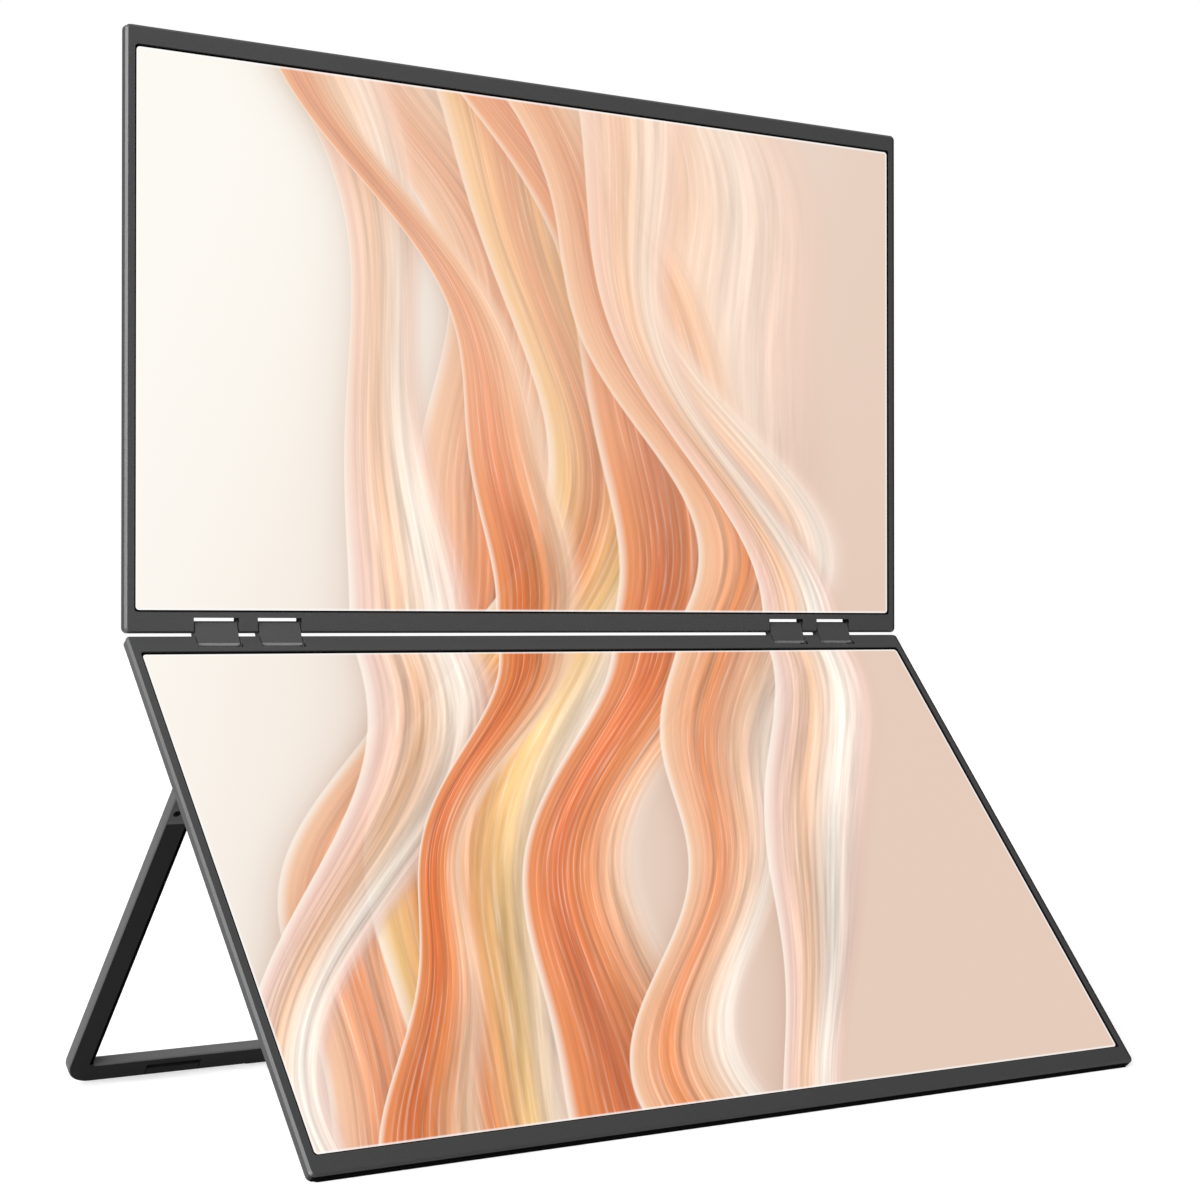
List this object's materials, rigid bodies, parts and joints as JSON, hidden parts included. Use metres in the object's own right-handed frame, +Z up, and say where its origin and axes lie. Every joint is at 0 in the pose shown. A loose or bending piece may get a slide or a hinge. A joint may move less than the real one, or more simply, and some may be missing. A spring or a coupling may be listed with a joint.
{
  "type": "foldable portable monitor",
  "caption": "Portable monitor of stacked screens joined by a link hinge, with a U-shaped fold-out stand.",
  "frame": {"origin": "on the table under the middle of the open monitor's bounding box", "axes": "+Z up, -Y towards the viewer of the screens, +X to the viewer's right along the hinge"},
  "size_m": [0.3526, 0.2, 0.3769],
  "materials": {
    "frame_metal": "matte dark grey anodised metal",
    "screen_glass": "matte display glass, lit from behind",
    "clear_acrylic": "clear moulded sheet",
    "board": "solder-masked circuit board",
    "chip_black": "moulded black",
    "steel": "satin steel",
    "bronze": "sintered bronze",
    "dark_screw": "black oxide",
    "rubber_black": "matte rubber",
    "housing_plastic": "fine textured plastic",
    "key_plastic": "satin plastic"
  },
  "bodies": {
    "lower_display": {"lower_back_cover": "frame_metal", "lower_bezel": "frame_metal", "lower_lcd_glass": "screen_glass", "lower_light_guide": "clear_acrylic", "lower_led_bar": "board", "lower_source_board": "board", "lower_hinge_blocks": "steel", "lower_hinge_shafts": "steel", "lower_hinge_screws": "dark_screw", "lower_feet": "rubber_black", "rear_housing": "housing_plastic", "housing_screws": "dark_screw", "main_board": "board", "main_board_chips": "chip_black", "usb_c_shells": "steel", "usb_c_tongues": "chip_black", "hdmi_shell": "steel", "hdmi_tongue": "chip_black", "key_board": "board", "side_switches": "chip_black", "speaker_left": "chip_black", "stand_clip_left": "steel", "speaker_right": "chip_black", "stand_clip_right": "steel"},
    "hinge_links": {"hinge_link_left_outer": "frame_metal", "hinge_link_left_inner": "frame_metal", "hinge_link_right_inner": "frame_metal", "hinge_link_right_outer": "frame_metal", "hinge_bushes": "bronze"},
    "upper_display": {"upper_back_cover": "frame_metal", "upper_bezel": "frame_metal", "upper_lcd_glass": "screen_glass", "upper_light_guide": "clear_acrylic", "upper_led_bar": "board", "upper_source_board": "board", "upper_hinge_blocks": "steel", "upper_hinge_shafts": "steel", "upper_hinge_screws": "dark_screw"},
    "stand": {"stand_leaf_left": "steel", "stand_leaf_right": "steel", "stand_frame": "frame_metal", "stand_leaf_screws": "dark_screw", "stand_bumpers": "rubber_black", "stand_feet": "rubber_black"},
    "power_key": {"power_key": "key_plastic"},
    "menu_key_up": {"menu_key_up": "key_plastic"},
    "menu_key_down": {"menu_key_down": "key_plastic"}
  },
  "joints": [
    {"name": "lower_fold", "type": "hinge", "parent": "lower_display", "child": "hinge_links", "pos_m": [0, 0.03604, 0.16178], "axis": [1, 0, 0], "range_deg": [-65, 70]},
    {"name": "upper_fold", "type": "hinge", "parent": "hinge_links", "child": "upper_display", "pos_m": [0, 0.03795, 0.16704], "axis": [1, 0, 0], "range_deg": [-65, 70]},
    {"name": "stand_swing", "type": "hinge", "parent": "lower_display", "child": "stand", "pos_m": [0, 0.00104, 0.11308], "axis": [1, 0, 0], "range_deg": [-81.16, 8.84]},
    {"name": "power_key_press", "type": "slide", "parent": "lower_display", "child": "power_key", "axis": [1, 0, 0], "range_m": [0, 0.00035], "stiffness_N_per_m": 1000},
    {"name": "menu_key_up_press", "type": "slide", "parent": "lower_display", "child": "menu_key_up", "axis": [1, 0, 0], "range_m": [0, 0.00035], "stiffness_N_per_m": 1000},
    {"name": "menu_key_down_press", "type": "slide", "parent": "lower_display", "child": "menu_key_down", "axis": [1, 0, 0], "range_m": [0, 0.00035], "stiffness_N_per_m": 1000}
  ]
}
